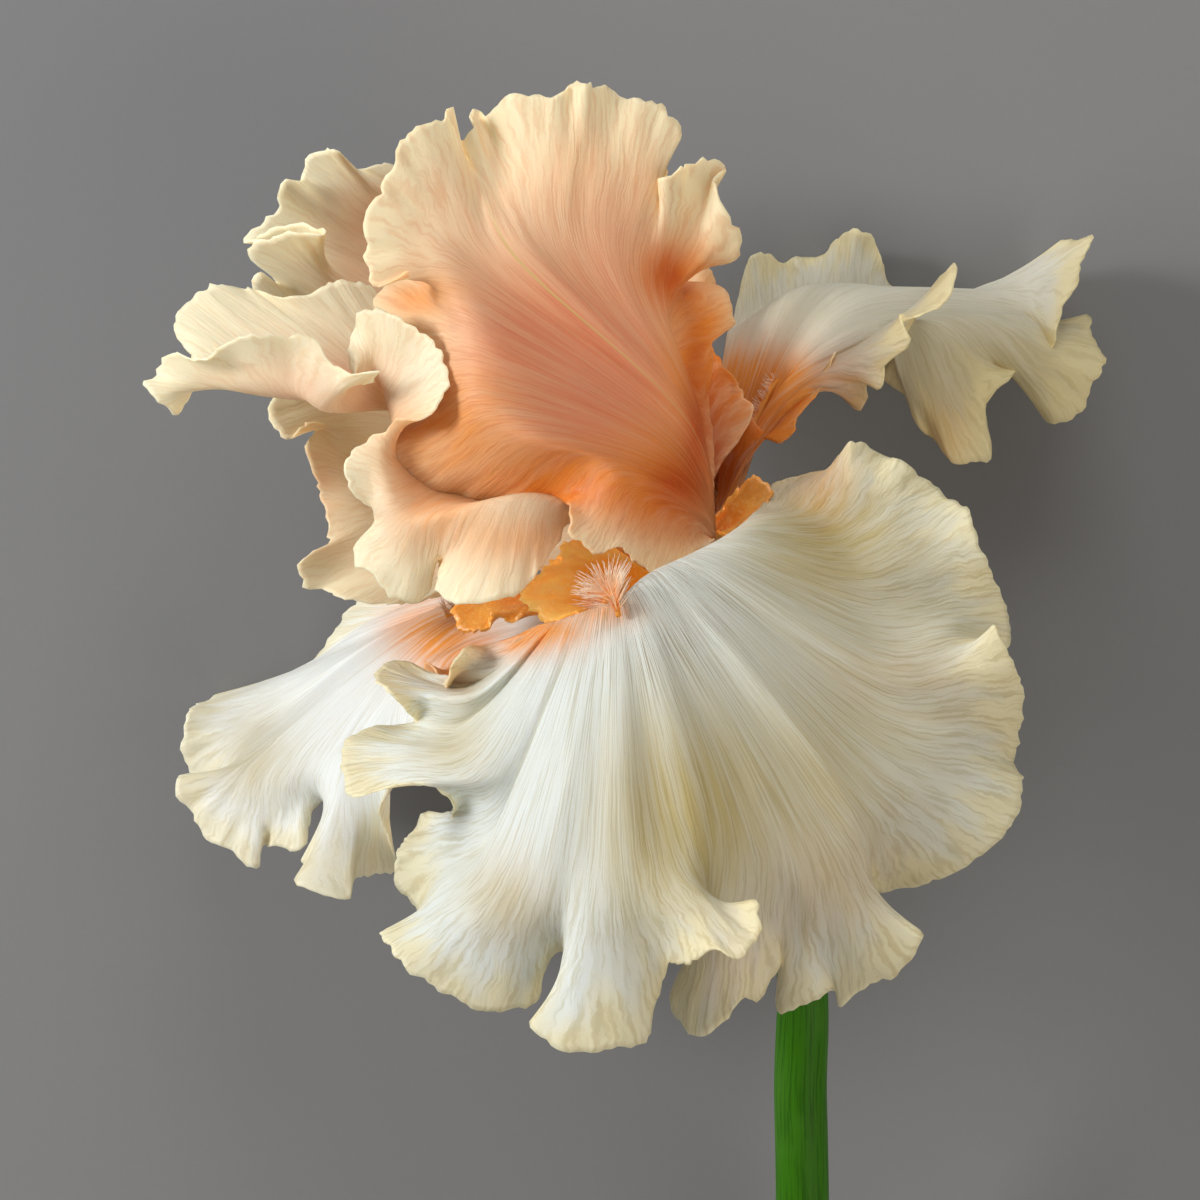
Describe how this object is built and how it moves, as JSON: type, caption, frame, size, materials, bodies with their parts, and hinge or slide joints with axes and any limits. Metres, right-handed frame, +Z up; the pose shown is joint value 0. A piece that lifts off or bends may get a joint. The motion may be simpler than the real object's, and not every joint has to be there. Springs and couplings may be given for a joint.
{
  "type": "bearded iris flower",
  "caption": "Cut bearded iris in full bloom, lying on its back: ruffled upright standards, drooping frilled falls with furry beards, style arms, spathe and a short stem.",
  "frame": {"origin": "centre of the bounding box on the plane the flower lies on", "axes": "+Z up from the surface and out of the flower's face, +Y along the flower from stem to top, +X to the flower's right as seen from above"},
  "size_m": [0.1688, 0.2529, 0.1283],
  "materials": {
    "stem_green": "smooth green stem with a pale waxy bloom",
    "ovary_green": "smooth light green ovary and tube, faintly ribbed",
    "spathe": "thin dry green-buff papery bract with lengthwise veins",
    "fall": "white to warm cream velvety blade, peach at the haft, brown-grey veins, yellow frilled edge",
    "standard": "translucent salmon-pink blade, orange at the base, cream to pale yellow frilled edge",
    "style": "glistening orange-yellow strap with a fringed crest",
    "beard": "soft furry hairs, orange at the back, white-pink below",
    "pollen": "powdery cream pollen sac on a pale filament"
  },
  "bodies": {
    "root": {"perianth_tube": "ovary_green", "ovary": "ovary_green", "stem": "stem_green", "fall_front": "fall", "fall_left": "fall", "fall_right": "fall", "standard_front": "standard", "standard_left": "standard", "standard_back": "standard", "style_arm_front": "style", "style_arm_left": "style", "style_arm_right": "style", "beard_front": "beard", "beard_left": "beard", "beard_right": "beard", "anther_front": "pollen", "anther_left": "pollen", "anther_right": "pollen", "spathe_outer": "spathe", "spathe_inner": "spathe"}
  },
  "joints": []
}
